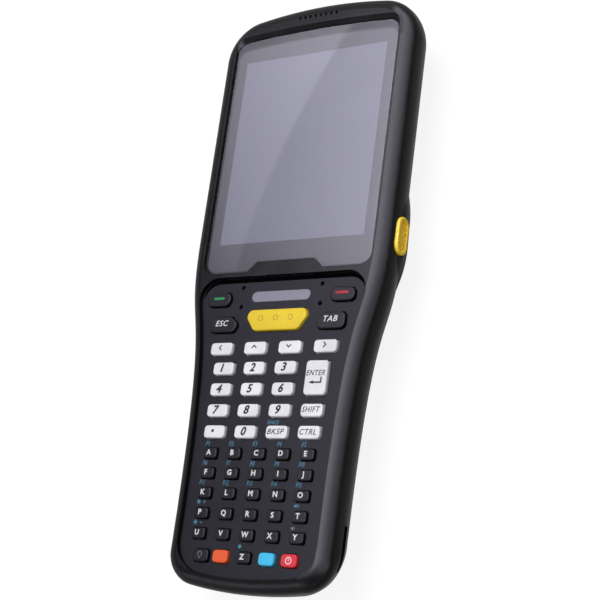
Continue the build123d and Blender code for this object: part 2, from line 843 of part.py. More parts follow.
def keypad_membrane(keys):
    sheet = prism(panel_face(panel_ledge - membrane_lip), membrane_base, membrane_top)
    lip = prism(panel_face(panel_ledge - membrane_lip) - panel_face(panel_ledge),
                board_top, ceiling)
    membrane = sheet + lip - columns(boss_radius + boss_gap, 0, crest)
    holes = [Pos(x, y) * Circle(stem_radius + stem_gap) for _, _, x, y in keys]
    return membrane - prism(Sketch() + holes, membrane_base - past, membrane_top + past)


def keypad_board(keys):
    board = prism(panel_face(panel_ledge - membrane_lip), board_base, board_top)
    domes = [Pos(x, y) * Circle(stem_radius) for _, _, x, y in keys]
    board += prism(Sketch() + domes, board_top, board_top + dome_height)
    return board - columns(boss_radius + boss_gap, 0, crest)


def status_light_lens():
    face = SlotOverall(light_width, light_height)
    flange = SlotOverall(light_width + 2 * key_flange, light_height + 2 * key_flange)
    place = Pos(keypad_offset, row_y(light_row))
    lens = prism(place * face, panel_base, panel_top + light_proud)
    lens = fillet(lens.edges().group_by(Axis.Z)[-1], light_proud)
    return lens + prism(place * flange, membrane_top, panel_base)


# ---------------------------------------------------------------- inner pieces
def chassis_frame():
    """Metal frame: carries display and main board, steps down under the keypad board."""
    half = lcd_width / 2 + chassis_overlap
    plate_base = board_base - chassis_thickness
    upper = block(-half, half, lcd_foot - chassis_overlap, lcd_head + chassis_overlap,
                  chassis_base, chassis_top)
    lower = prism(panel_face(panel_ledge), plate_base, board_base)
    step_half = chassis_step_width / 2
    tread = block(-step_half, step_half, panel_head - panel_ledge - chassis_thickness,
                  lcd_foot, plate_base, board_base)
    riser = block(-step_half, step_half, lcd_foot - chassis_overlap, lcd_foot,
                  plate_base, chassis_top)
    pillar_x = lcd_width / 2 - pillar_from_side
    pillars = [Pos(side * pillar_x, y) * Circle(pillar_radius) for side in (1, -1)
               for y in (lcd_foot + pillar_from_foot, lcd_head - pillar_from_head)]
    frame = upper + lower + tread + riser
    frame += prism(Sketch() + pillars, main_board_top, chassis_top)
    return frame - columns(boss_radius + boss_gap, 0, crest)


def main_board():
    half = switch_outer - switch_width + switch_landing
    board = block(-half, half, lcd_foot + main_board_inset, lcd_head - main_board_inset,
                  main_board_base, main_board_top)
    return board - columns(boss_radius + boss_gap, 0, crest)


def processor_shield():
    half = shield_width / 2
    can = block(-half, half, lcd_middle - shield_length / 2, lcd_middle + shield_length / 2,
                main_board_base - shield_height, main_board_base)
    return fillet(can.edges().group_by(Axis.Z)[0], shield_edge_radius)


def window_y(inset):
    """Y of the casing's head end at mid-window height, moved inwards."""
    return -end_y(scanner_middle, inset)


def scan_engine():
    face = window_y(wall + scanner_gap)
    half = scanner_width / 2
    body = block(-half, half, face - scanner_length, face,
                 scanner_middle - scanner_height / 2, scanner_middle + scanner_height / 2)
    for x, radius in ((-scanner_lens_x, scanner_lens_radius),
                      (scanner_lens_x, aimer_lens_radius)):
        body += Pos(x, face, scanner_middle) * Rot(90, 0, 0) * Cylinder(radius, scanner_gap)
    return body


def scan_window():
    zone = scan_window_zone(0)
    depth = scan_window_recess + scan_window_thickness
    return (body_solid(scan_window_recess) & zone) - body_solid(depth)


def earpiece_speaker():
    half = earpiece_width / 2
    middle = head_end - earpiece_from_head
    return block(-half, half, middle - earpiece_depth / 2, middle + earpiece_depth / 2,
                 ceiling - earpiece_height, ceiling)


def loudspeaker():
    half = speaker_width / 2
    middle = head_end - speaker_from_head
    box = block(-half, half, middle - speaker_length / 2, middle + speaker_length / 2,
                back_wall, back_wall + speaker_height)
    return fillet(box.edges().group_by(Axis.Z)[-1], speaker_edge_radius)


def battery_pack():
    """Pack whose lower edges follow the inside of its door."""
    pack = battery_zone(0, battery_base, battery_base + battery_height)
    pack = fillet(pack.edges().filter_by(Axis.Z), battery_corner_radius)
    return pack & body_solid(battery_base, battery_base)


def usb_connector():
    half = usb_width / 2
    low = port_middle - usb_height / 2
    high = port_middle + usb_height / 2
    y0 = end_y(port_middle, wall)
    shell = block(-half, half, y0, y0 + usb_length, low, high)
    mouth = block(-half + usb_shell, half - usb_shell, y0 - past, y0 + usb_mouth_depth,
                  low + usb_shell, high - usb_shell)
    tongue = block(-usb_tongue_width / 2, usb_tongue_width / 2, y0 + usb_shell,
                   y0 + usb_mouth_depth, port_middle - usb_tongue_thickness / 2,
                   port_middle + usb_tongue_thickness / 2)
    return shell - mouth + tongue


def trigger_switches():
    box = block(switch_outer - switch_width, switch_outer, trigger_y - switch_length / 2,
                trigger_y + switch_length / 2, main_board_top, main_board_top + switch_height)
    return both_sides(box)


# ---------------------------------------------------------------- moving pieces
def side_trigger():
    """Right-hand scan trigger: a button with a ribbed tray, held by a flange in the casing."""
    top = head_width / 2 + trigger_proud
    floor = top - trigger_tray_depth
    button = trigger_block(0, flange_inner, top)
    button = fillet(button.edges().group_by(Axis.X)[-1], trigger_edge_radius)
    button -= trigger_block(-trigger_rim, floor, top + past)
    rib = Rot(trigger_rib_tilt, 0, 0) * Box(2 * trigger_rib_height, trigger_rib_width,
                                            2 * trigger_height)
    ribs = [Pos(floor, trigger_y + (place - (trigger_ribs - 1) / 2) * trigger_rib_pitch,
                trigger_z) * rib for place in range(trigger_ribs)]
    button += (Part() + ribs) & trigger_block(-trigger_rim, floor, top)
    return button + trigger_block(trigger_flange, flange_inner, flange_outer)


def battery_door():
    leaf = body_solid(door_recess, door_recess) & door_zone(0)
    leaf -= body_solid(door_inside, door_inside)
    arm = block(-hinge_half, hinge_half, door_head - hinge_arm_reach, hinge_y,
                door_recess, door_inside)
    barrel = bar(hinge_barrel_radius, -hinge_half, hinge_half, hinge_y, hinge_z)
    hole = bar(pin_radius + pin_running_gap, -hinge_half - past, hinge_half + past,
               hinge_y, hinge_z)
    return leaf + arm + barrel - hole


def port_cover():
    leaf = body_solid(flap_recess) & flap_zone(0)
    leaf -= body_solid(flap_recess + flap_thickness)
    half = flap_width / 2
    y = flap_axis_y()
    neck = block(-half, half, y - flap_barrel_radius, y, flap_head - flap_neck, flap_hinge_z)
    barrel = bar(flap_barrel_radius, -half, half, y, flap_hinge_z)
    hole = bar(pin_radius + pin_running_gap, -half - past, half + past, y, flap_hinge_z)
    return leaf + neck + barrel - hole


def hinge_pins():
    reach = flap_width / 2 + flap_pin_reach
    return [bar(pin_radius, -pin_half, pin_half, hinge_y, hinge_z),
            bar(pin_radius, -reach, reach, flap_axis_y(), flap_hinge_z)]


# ---------------------------------------------------------------- output
def save(name, shape):
    solids = shape if isinstance(shape, list) else shape.solids()
    flat = [solid for piece in solids for solid in piece.solids()]
    compound = Compound(children=flat) if len(flat) > 1 else flat[0]
    compound.label = name
    export_step(compound, f"parts/{name}.step")
    print(name, len(flat), round(sum(solid.volume for solid in flat), 2))


def main():
    os.makedirs("parts", exist_ok=True)
    outer = body_solid()
    inner = body_solid(wall, back_wall)
    keys = key_places()
    save("front_housing", front_housing(outer, inner))
    save("rear_housing", rear_housing(outer, inner))
    save("housing_seal", housing_seal(outer, inner))
    save("housing_screws", housing_screws())
    save("display_glass", display_glass())
    save("display_gasket", display_gasket())
    save("lcd_module", lcd_module())
    save("keypad_panel", keypad_panel(keys))
    save("keypad_membrane", keypad_membrane(keys))
    save("keypad_board", keypad_board(keys))
    save("status_light_lens", status_light_lens())
    save("chassis_frame", chassis_frame())
    save("main_board", main_board())
    save("processor_shield", processor_shield())
    save("scan_engine", scan_engine())
    save("scan_window", scan_window())
    save("earpiece_speaker", earpiece_speaker())
    save("loudspeaker", loudspeaker())
    save("battery_pack", battery_pack())
    save("usb_connector", usb_connector())
    save("trigger_switches", trigger_switches())
    save("hinge_pins", hinge_pins())
    save("battery_door", battery_door())
    save("port_cover", port_cover())
    trigger = side_trigger()
    save("side_trigger_right", trigger)
    save("side_trigger_left", mirror(trigger, Plane.YZ))
    for name, solids in key_nodes().items():
        save(name, solids)


main()
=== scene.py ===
import json
import math

import bmesh
import bpy
from mathutils import Matrix, Vector

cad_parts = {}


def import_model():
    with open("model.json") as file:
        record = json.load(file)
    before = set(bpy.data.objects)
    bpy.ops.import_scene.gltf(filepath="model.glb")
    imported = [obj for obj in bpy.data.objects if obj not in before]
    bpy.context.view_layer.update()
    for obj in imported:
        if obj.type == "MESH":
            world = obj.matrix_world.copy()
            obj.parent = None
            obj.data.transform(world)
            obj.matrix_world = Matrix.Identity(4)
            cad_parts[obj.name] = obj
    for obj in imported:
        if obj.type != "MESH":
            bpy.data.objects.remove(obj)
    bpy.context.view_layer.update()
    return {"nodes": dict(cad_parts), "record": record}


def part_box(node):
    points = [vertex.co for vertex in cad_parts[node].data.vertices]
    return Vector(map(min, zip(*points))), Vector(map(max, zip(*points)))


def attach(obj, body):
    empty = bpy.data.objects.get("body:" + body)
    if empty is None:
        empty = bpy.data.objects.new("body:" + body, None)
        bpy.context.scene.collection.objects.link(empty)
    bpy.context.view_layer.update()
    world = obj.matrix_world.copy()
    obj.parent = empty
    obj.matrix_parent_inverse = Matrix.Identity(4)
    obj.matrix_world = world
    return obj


MM = 0.001
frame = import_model()
nodes = frame["nodes"]


# -------------------------------------------------------------- colours and nodes
NOISE_LOW, NOISE_HIGH = 0.3, 0.7    # most of a noise's values lie between these


def linear(red, green, blue):
    """Screen colour 0-255 as the linear RGBA that shaders take."""
    out = []
    for value in (red / 255, green / 255, blue / 255):
        dark = value <= 0.04045
        out.append(value / 12.92 if dark else ((value + 0.055) / 1.055) ** 2.4)
    return (*out, 1.0)


def scaled(colour, factor):
    """The colour at this share of its strength."""
    return (*[min(1.0, c * factor) for c in colour[:3]], 1.0)


class Shader:
    """A material under construction: short names for the nodes all finishes use."""

    def __init__(self, name):
        self.material = bpy.data.materials.new(name)
        self.material.use_nodes = True
        self.tree = self.material.node_tree
        self.tree.nodes.clear()
        self.out = self.tree.nodes.new("ShaderNodeOutputMaterial")
        self.place = self.tree.nodes.new("ShaderNodeTexCoord").outputs["Object"]

    def node(self, kind, **settings):
        made = self.tree.nodes.new(kind)
        for key, value in settings.items():
            setattr(made, key, value)
        return made

    def link(self, source, target):
        self.tree.links.new(source, target)

    def put(self, value, target):
        """A number, colour or socket into an input."""
        if isinstance(value, bpy.types.NodeSocket):
            self.link(value, target)
        else:
            target.default_value = value

    def stretched(self, scale):
        """Object coordinates squeezed along each axis, for lines and streaks."""
        mapping = self.node("ShaderNodeMapping")
        mapping.inputs["Scale"].default_value = scale
        self.link(self.place, mapping.inputs["Vector"])
        return mapping.outputs["Vector"]

    def noise(self, size, detail=2.0, roughness=0.5, place=None):
        """Noise whose features are about this many metres across."""
        made = self.node("ShaderNodeTexNoise")
        made.inputs["Scale"].default_value = 1 / size
        made.inputs["Detail"].default_value = detail
        made.inputs["Roughness"].default_value = roughness
        self.link(place or self.place, made.inputs["Vector"])
        return made.outputs["Fac"]

    def ranged(self, value, low, high, to_low=0.0, to_high=1.0, smooth=False):
        """The value's stretch from low to high, turned into to_low to to_high."""
        made = self.node("ShaderNodeMapRange")
        made.interpolation_type = "SMOOTHSTEP" if smooth else "LINEAR"
        self.put(value, made.inputs["Value"])
        for key, number in (("From Min", low), ("From Max", high),
                            ("To Min", to_low), ("To Max", to_high)):
            made.inputs[key].default_value = number
        return made.outputs["Result"]

    def math(self, operation, first, second=0.0, third=0.0):
        made = self.node("ShaderNodeMath", operation=operation)
        for socket, value in zip(made.inputs, (first, second, third)):
            self.put(value, socket)
        return made.outputs["Value"]

    def mixed(self, factor, first, second):
        """Mix of two colours."""
        made = self.node("ShaderNodeMix", data_type="RGBA")
        self.put(factor, made.inputs[0])
        self.put(first, made.inputs[6])
        self.put(second, made.inputs[7])
        return made.outputs[2]

    def layered(self, factor, first, second):
        """Mix of two surfaces."""
        made = self.node("ShaderNodeMixShader")
        self.link(factor, made.inputs["Fac"])
        self.link(first, made.inputs[1])
        self.link(second, made.inputs[2])
        return made.outputs["Shader"]

    def axis(self, name):
        """The object's own X, Y or Z."""
        made = self.node("ShaderNodeSeparateXYZ")
        self.link(self.place, made.inputs["Vector"])
        return made.outputs[name]

    def bumped(self, height, distance, below=None):
        """Normal of a relief this high, on top of the relief below it."""
        made = self.node("ShaderNodeBump")
        made.inputs["Distance"].default_value = distance
        self.put(height, made.inputs["Height"])
        if below is not None:
            self.link(below, made.inputs["Normal"])
        return made.outputs["Normal"]

    def principled(self, **inputs):
        made = self.node("ShaderNodeBsdfPrincipled")
        for key, value in inputs.items():
            self.put(value, made.inputs[key.replace("_", " ")])
        return made.outputs["BSDF"]

    def finish(self, surface):
        self.link(surface, self.out.inputs["Surface"])
        return self.material


# -------------------------------------------------------------- finishes
glass_low, glass_high = [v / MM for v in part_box("display_glass")]
GLASS_ARCH = 1.4                    # rise of the glass's head edge at its middle
LIP_WIDTH, LIP_RISE = 2.0, 0.5      # soft slope of the rim along that edge
LIP_FULL, LIP_END = 29, 34          # from the middle, where the slope fades out


def glass_lip(s):
    """Height of the rim's soft inner slope at the glass's head edge, 0 to 1."""
    x, y = s.axis("X"), s.axis("Y")
    curve = GLASS_ARCH * MM / (glass_high.x * MM) ** 2
    edge = s.math("MULTIPLY", s.math("MULTIPLY", x, x), curve)
    past = s.math("ADD", s.math("ADD", y, edge), -glass_high.y * MM)
    slope = s.ranged(past, 0.0, LIP_WIDTH * MM)
    beside = s.ranged(s.math("ABSOLUTE", x), LIP_FULL * MM, LIP_END * MM, 1.0, 0.0,
                      smooth=True)
    return s.math("MULTIPLY", slope, beside)


def moulded(name, colour, worn, rough, depth=0.012 * MM, specular=0.25,
            cloud=14 * MM, scuff=0.25, coat=0.0, form=None):
    """Moulded plastic or rubber: fine grain, uneven gloss and faint scuffs."""
    s = Shader(name)
    patches = s.ranged(s.noise(cloud, detail=4.0, roughness=0.6), 0.35, 0.7,
                       smooth=True)
    streak = s.noise(1.0 * MM, detail=3.0, roughness=0.6,
                     place=s.stretched((1.0, 0.12, 1.0)))
    scuffs = s.ranged(streak, 0.62, 0.78, to_high=scuff)
    pores = s.noise(0.25 * MM)
    base = s.mixed(patches, colour, scaled(colour, 0.86))
    base = s.mixed(s.math("MULTIPLY", scuffs, patches), base, worn)
    speckle = s.ranged(pores, NOISE_LOW, NOISE_HIGH, to_low=0.94, to_high=1.06)
    tinted = s.node("ShaderNodeVectorMath", operation="SCALE")
    s.link(base, tinted.inputs[0])
    s.link(speckle, tinted.inputs["Scale"])
    gloss = s.ranged(s.math("ADD", patches, scuffs), 0.0, 1.2, rough, rough + 0.08)
    below = s.bumped(form(s), LIP_RISE * MM) if form else None
    return s.finish(s.principled(
        Base_Color=tinted.outputs["Vector"], Roughness=gloss,
        Normal=s.bumped(pores, depth, below=below),
        Specular_IOR_Level=specular, Coat_Weight=coat, Coat_Roughness=0.12))


def metal(name, colour, rough, brushed=(1.0, 0.05, 1.0)):
    """Bare metal with the fine lines of its rolling or machining."""
    s = Shader(name)
    lines = s.noise(0.5 * MM, detail=4.0, roughness=0.7, place=s.stretched(brushed))
    patches = s.noise(9 * MM, detail=3.0)
    gloss = s.ranged(lines, NOISE_LOW, NOISE_HIGH, rough - 0.06, rough + 0.08)
    return s.finish(s.principled(
        Base_Color=s.mixed(patches, colour, scaled(colour, 0.8)), Metallic=1.0,
        Roughness=gloss, Normal=s.bumped(lines, 0.004 * MM)))


def glass(name, tint, rough=0.02):
    """Clear pane with faint smears; shadow and diffuse rays pass straight through."""
    s = Shader(name)
    smears = s.ranged(s.noise(11 * MM, detail=5.0, roughness=0.65), 0.45, 0.75,
                      rough, rough + 0.05)
    dust = s.ranged(s.noise(0.5 * MM), NOISE_LOW, NOISE_HIGH, to_low=0.96)
    pane = s.principled(
        Base_Color=s.mixed(dust, scaled(tint, 0.97), tint), Roughness=smears,
        Transmission_Weight=1.0, IOR=1.5,
        Normal=s.bumped(s.noise(30 * MM, detail=1.0), 0.002 * MM))
    path = s.node("ShaderNodeLightPath")
    passing = s.math("MAXIMUM", path.outputs["Is Shadow Ray"],
                     path.outputs["Is Diffuse Ray"])
    clear = s.node("ShaderNodeBsdfTransparent")
    return s.finish(s.layered(passing, pane, clear.outputs["BSDF"]))


def ink(name, colour, rough=0.45, specular=0.1):
    """Printed legend: slightly uneven ink."""
    s = Shader(name)
    uneven = s.noise(0.4 * MM, detail=3.0, roughness=0.6)
    return s.finish(s.principled(
        Base_Color=s.mixed(uneven, colour, scaled(colour, 0.85)),
        Roughness=s.ranged(uneven, NOISE_LOW, NOISE_HIGH, rough, rough + 0.1),
        Specular_IOR_Level=specular, Normal=s.bumped(uneven, 0.003 * MM)))


BLACK = linear(13, 13, 14)
BLACK_WORN = linear(44, 43, 46)
# slot: colour, colour where worn, roughness, other settings
MOULDED = {
    "casing_front": (BLACK, BLACK_WORN, 0.25,
                     {"specular": 0.11, "depth": 0.003 * MM, "form": glass_lip}),
    "casing_back": (BLACK, BLACK_WORN, 0.5, {"specular": 0.15, "depth": 0.02 * MM}),
    "seal_rubber": (linear(16, 16, 17), BLACK_WORN, 0.62, {"specular": 0.15}),
    "lcd_panel": (linear(135, 134, 152), linear(150, 150, 165), 0.5, {}),
    "keypad_panel": (linear(29, 28, 33), BLACK_WORN, 0.34,
                     {"specular": 0.06, "scuff": 0.15}),
    "silicone": (linear(72, 72, 76), linear(120, 120, 124), 0.55, {}),
    "circuit_board": (linear(24, 74, 46), linear(90, 130, 96), 0.35,
                      {"specular": 0.5, "cloud": 5 * MM}),
    "light_lens": (linear(125, 121, 136), linear(168, 166, 176), 0.25,
                   {"specular": 0.2, "depth": 0.002 * MM}),
    "module_black": (linear(20, 20, 22), BLACK_WORN, 0.45, {}),
    "scan_window": (linear(44, 8, 12), linear(90, 30, 34), 0.08,
                    {"specular": 0.5, "depth": 0.001 * MM, "coat": 0.6}),
    "battery_wrap": (linear(40, 42, 47), linear(110, 112, 116), 0.36, {}),
    "trigger_yellow": (linear(250, 213, 54), linear(222, 198, 108), 0.45,
                       {"specular": 0.2}),
    "key_yellow": (linear(229, 198, 50), linear(216, 196, 104), 0.45,
                   {"specular": 0.05}),
    "key_white": (linear(226, 225, 232), linear(206, 205, 202), 0.45,
                  {"specular": 0.06}),
    "key_black": (linear(17, 17, 20), BLACK_WORN, 0.34, {"specular": 0.08}),
    "key_orange": (linear(226, 94, 52), linear(214, 130, 96), 0.42,
                   {"specular": 0.06}),
    "key_blue": (linear(66, 183, 228), linear(140, 196, 216), 0.42,
                 {"specular": 0.06}),
    "key_red": (linear(212, 52, 64), linear(214, 116, 120), 0.42,
                {"specular": 0.06}),
}
materials = {slot: moulded(slot, colour, worn, rough, **others)
             for slot, (colour, worn, rough, others) in MOULDED.items()}
materials["screw_steel"] = metal("screw_steel", linear(120, 120, 124), 0.34)
materials["chassis_alloy"] = metal("chassis_alloy", linear(150, 150, 154), 0.42,
                                   brushed=(1, 1, 1))
materials["shield_steel"] = metal("shield_steel", linear(176, 174, 168), 0.3)
materials["display_glass"] = glass("display_glass", (0.96, 0.965, 0.97, 1.0))

inks = {
    "key_white": ink("ink_white", linear(218, 218, 222)),
    "key_black": ink("ink_dark", linear(34, 34, 44)),
    "key_blue": ink("ink_teal", linear(66, 124, 150)),
    "key_red": ink("ink_red", linear(160, 36, 50)),
    "green": ink("ink_green", linear(30, 126, 66)),
    "grey": ink("ink_grey", linear(112, 112, 118)),
    "amber": ink("ink_amber", linear(176, 146, 24)),
    # black matte ink, used only for the painted shade along the keypad recess's head
    # edge
    "seal_rubber": ink("ink_painted_shade", linear(5, 5, 6), rough=0.8, specular=0.0),
}

for part in frame["record"]["subparts"]:
    node = nodes[part["node"]]
    node.data.materials.clear()
    node.data.materials.append(materials[part["material_slot"]])


# -------------------------------------------------------------- flat artwork
PRINT = 0.03 * MM                   # thickness of all print
TINY = 1e-9


def lettering(words, slant=0.0, heavy=0.0, spacing=1.0):
    """Words in the built-in font at size 1, as a mesh 1 thick."""
    curve = bpy.data.curves.new("words", "FONT")
    curve.body = words
    curve.align_x, curve.align_y = "LEFT", "BOTTOM_BASELINE"
    curve.size = 1.0
    curve.shear = slant
    curve.offset = heavy
    curve.space_character = spacing
    curve.resolution_u = 3
    curve.extrude = 0.5
    holder = bpy.data.objects.new("words", curve)
    bpy.context.scene.collection.objects.link(holder)
    graph = bpy.context.evaluated_depsgraph_get()
    mesh = bpy.data.meshes.new_from_object(holder.evaluated_get(graph))
    bpy.data.objects.remove(holder)
    bpy.data.curves.remove(curve)
    return mesh


def span(mesh, axis):
    """Smallest and largest place of a mesh along an axis."""
    places = [v.co[axis] for v in mesh.vertices]
    return min(places), max(places)


def capital_height():
    """Height of a capital letter in the built-in font at size 1."""
    mesh = lettering("H")
    low, high = span(mesh, 1)
    bpy.data.meshes.remove(mesh)
    return high - low


CAPITAL = capital_height()


class Artwork:
    """Flat shapes, in millimetres, gathered into one thin piece on one body."""

    def __init__(self):
        self.mesh = bmesh.new()

    def corners(self, loop, z):
        return [self.mesh.verts.new((x * MM, y * MM, z)) for x, y in loop]

    def plate(self, loop, z):
        """Counter-clockwise outline as a thin plate standing on z."""
        low = self.corners(loop, z * MM)
        high = self.corners(loop, z * MM + PRINT)
        self.mesh.faces.new(high)
        self.mesh.faces.new(list(reversed(low)))
        for i in range(len(loop)):
            j = (i + 1) % len(loop)
            self.mesh.faces.new((low[i], low[j], high[j], high[i]))

    def bar(self, left, right, foot, head, z):
        """Upright rectangle as a plate."""
        self.plate([(left, foot), (right, foot), (right, head), (left, head)], z)

    def ring(self, inside, outside, z):
        """Plate between two outlines that have the same number of points."""
        low_in, low_out, high_in, high_out = [
            self.corners(loop, z * MM + lift)
            for lift in (0.0, PRINT) for loop in (inside, outside)]
        for i in range(len(inside)):
            j = (i + 1) % len(inside)
            self.mesh.faces.new((high_out[i], high_out[j], high_in[j], high_in[i]))
            self.mesh.faces.new((low_in[i], low_in[j], low_out[j], low_out[i]))
            self.mesh.faces.new((low_out[i], low_out[j], high_out[j], high_out[i]))
            self.mesh.faces.new((high_in[i], high_in[j], low_in[j], low_in[i]))

    def stroke(self, points, width, z):
        """Line of even width through points, with mitred bends."""
        lefts, rights = [], []
        for i, (x, y) in enumerate(points):
            before = points[max(i - 1, 0)]
            after = points[min(i + 1, len(points) - 1)]
            d1 = Vector((x - before[0], y - before[1]))
            d2 = Vector((after[0] - x, after[1] - y))
            d1 = d1.normalized() if d1.length > TINY else d2.normalized()
            d2 = d2.normalized() if d2.length > TINY else d1
            along = (d1 + d2).normalized()
            side = Vector((-along.y, along.x))
            reach = width / 2 / max(0.5, side.dot(Vector((-d1.y, d1.x))))
            lefts.append((x + side.x * reach, y + side.y * reach))
            rights.append((x - side.x * reach, y - side.y * reach))
        self.plate(rights + list(reversed(lefts)), z)

    def text(self, words, x, y, z, height, width=None, **style):
        """Words centred on x, y: height of the capitals and full width."""
        mesh = lettering(words, **style)
        left, right = span(mesh, 0)
        size = height / CAPITAL
        across = width / (right - left) if width else size
        centred = Matrix.Translation((-(left + right) / 2, 0, 0))
        scale = Matrix.Diagonal((across * MM, size * MM, PRINT, 1.0))
        move = Matrix.Translation((x * MM, (y - height / 2) * MM, z * MM + PRINT / 2))
        mesh.transform(move @ scale @ centred)
        self.mesh.from_mesh(mesh)
        bpy.data.meshes.remove(mesh)

    def piece(self, name, body, slot, finish=None):
        """The gathered shapes as a piece that rides on the body."""
        bmesh.ops.recalc_face_normals(self.mesh, faces=self.mesh.faces)
        mesh = bpy.data.meshes.new(name)
        self.mesh.to_mesh(mesh)
        self.mesh.free()
        made = bpy.data.objects.new(name, mesh)
        bpy.context.scene.collection.objects.link(made)
        mesh.materials.append(finish or inks[slot])
        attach(made, body)


def arc(x, y, radius, start, end, count=16):
    """Points of an arc, both ends included; angles in degrees."""
    turns = [math.radians(start + (end - start) * i / count) for i in range(count + 1)]
    return [(x + radius * math.cos(a), y + radius * math.sin(a)) for a in turns]


def circle(x, y, radius, count=24):
    return arc(x, y, radius, 0, 360, count)[:-1]


# -------------------------------------------------------------- legends on the keys
KEY_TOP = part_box("digit_5_key")[1].z / MM
LETTER_PITCH = 9.27
LEGEND_SHIFT = -0.4                 # digits and letters sit left of the key's middle
SLANT = {"slant": 0.25}
WORD_STYLE = {"slant": 0.25, "heavy": 0.01, "spacing": 1.12}
DIGIT_HEIGHT, DIGIT_RISE = 2.6, 0.2
LETTER_HEIGHT, LETTER_RISE = 1.65, 0.25
ENTER_WORD = (1.7, 6.9)             # height and width
ARROW_WIDTH = 0.42                  # of the strokes
LETTER_ROWS = {"letter_keys_a_to_e": "ABCDE", "letter_keys_f_to_j": "FGHIJ",
               "letter_keys_k_to_o": "KLMNO", "letter_keys_p_to_t": "PQRST",
               "letter_keys_u_to_y": "UVWXY", "letter_key_z": "Z"}
# key: word, its width and height, its shift from the key's middle, ink
KEY_WORDS = {
    "shift": ("SHIFT", 6.7, 1.75, -0.12, 0.25, "key_black"),
    "backspace": ("BKSP", 6.3, 1.75, -0.19, 0.15, "key_black"),
    "control": ("CTRL", 6.0, 1.75, -0.2, 0.1, "key_black"),
    "escape": ("ESC", 5.1, 1.85, -0.56, 0.35, "key_white"),
    "tab": ("TAB", 5.2, 1.85, 0.12, 0.49, "key_white"),
}


def key_centre(name):
    low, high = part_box(name)
    return (low.x + high.x) / 2 / MM, (low.y + high.y) / 2 / MM


def digit_legends():
    for digit in "1234567890":
        x, y = key_centre(f"digit_{digit}_key")
        art = Artwork()
        art.text(digit, x + LEGEND_SHIFT, y + DIGIT_RISE, KEY_TOP, DIGIT_HEIGHT,
                 heavy=0.035, **SLANT)
        art.piece(f"legend_{digit}", f"digit_{digit}_key", "key_black")
    x, y = key_centre("dot_key")
    art = Artwork()
    art.plate(circle(x - 0.55, y + 0.25, radius=0.52, count=20), KEY_TOP)
    art.piece("legend_dot", "dot_key", "key_black")


def enter_legend():
    """ENTER over a bent arrow."""
    x, y = key_centre("enter_key")
    height, width = ENTER_WORD
    left, right, low = x - 2.4, x + 2.1, y - 1.6
    bend, tip, line = 1.75, left + 1.7, 0.5
    art = Artwork()
    art.text("ENTER", x - 0.15, y + 1.5, KEY_TOP, height, width, **WORD_STYLE)
    art.stroke([(right, low + bend), (right, low), (left + 1.4, low)], line, KEY_TOP)
    art.plate([(left, low), (tip, low - 0.55), (tip, low + 0.65)], KEY_TOP)
    art.piece("legend_enter", "enter_key", "key_black")


def arrow_legends():
    """Open arrow heads."""
    for name, turn in {"left": 90, "up": 0, "down": 180, "right": 270}.items():
        x, y = key_centre(f"arrow_{name}_key")
        x, y = x - 0.27, y + 0.35
        spin = Matrix.Rotation(math.radians(turn), 2)
        corners = [spin @ Vector(p) for p in ((-0.9, -0.4), (0, 0.45), (0.9, -0.4))]
        art = Artwork()
        art.stroke([(x + c.x, y + c.y) for c in corners], ARROW_WIDTH, KEY_TOP)
        art.piece(f"legend_arrow_{name}", f"arrow_{name}_key", "key_black")


def letter_legends():
    for name, letters in LETTER_ROWS.items():
        x, y = key_centre(name)
        first = x - (len(letters) - 1) / 2 * LETTER_PITCH + LEGEND_SHIFT
        art = Artwork()
        for column, letter in enumerate(letters):
            art.text(letter, first + column * LETTER_PITCH, y + LETTER_RISE, KEY_TOP,
                     LETTER_HEIGHT, heavy=0.03)
        art.piece(f"legend_{name}", name, "key_white")


def word_legends():
    for name, (word, width, height, across, up, slot) in KEY_WORDS.items():
        x, y = key_centre(f"{name}_key")
        art = Artwork()
        art.text(word, x + across, y + up, KEY_TOP, height, width, **WORD_STYLE)
        art.piece(f"legend_{name}", f"{name}_key", slot)


def handset_dashes():
    """Short bars with round ends: the signs of the call and end keys."""
    radius, rise = 0.42, 0.3
    for name, length, slot in (("call", 4.3, "green"), ("end", 5.0, "key_red")):
        x, y = key_centre(f"{name}_key")
        flat = length / 2 - radius
        loop = arc(x + flat, y + rise, radius, -90, 90, 8)
        loop += arc(x - flat, y + rise, radius, 90, 270, 8)
        art = Artwork()
        art.plate(loop, KEY_TOP)
        art.piece(f"legend_{name}", f"{name}_key", slot)


def scan_key_dots():
    """Three small rings on the scan key."""
    x, y = key_centre("scan_key")
    x, y, pitch = x - 0.2, y + 0.6, 5.8
    art = Artwork()
    for place in (-pitch, 0.0, pitch):
        art.ring(circle(x + place, y, radius=0.72), circle(x + place, y, radius=1.0),
                 KEY_TOP)
    art.piece("scan_key_dots", "scan_key", "amber")


def power_sign():
    x, y = key_centre("power_key")
    art = Artwork()
    art.ring(circle(x, y, radius=0.85), circle(x, y, radius=1.15), KEY_TOP)
    art.stroke([(x, y - 0.15), (x, y + 0.5)], 0.32, KEY_TOP)
    art.piece("legend_power", "power_key", "key_white")


def bulb_sign():
    """Light bulb of the backlight key: an open ring over the two lines of its cap."""
    x, y = key_centre("backlight_key")
    x, y, radius = x - 0.2, y + 0.1, 0.75
    art = Artwork()
    art.stroke(arc(x, y + 0.25, radius, -50, 230, 14), 0.25, KEY_TOP)
    for half, drop in ((0.36, 0.62), (0.3, 0.95)):
        art.stroke([(x - half, y - drop), (x + half, y - drop)], 0.22, KEY_TOP)
    art.piece("legend_backlight", "backlight_key", "key_white", inks["grey"])


digit_legends()
enter_legend()
arrow_legends()
letter_legends()
word_legends()
handset_dashes()
scan_key_dots()
power_sign()
bulb_sign()


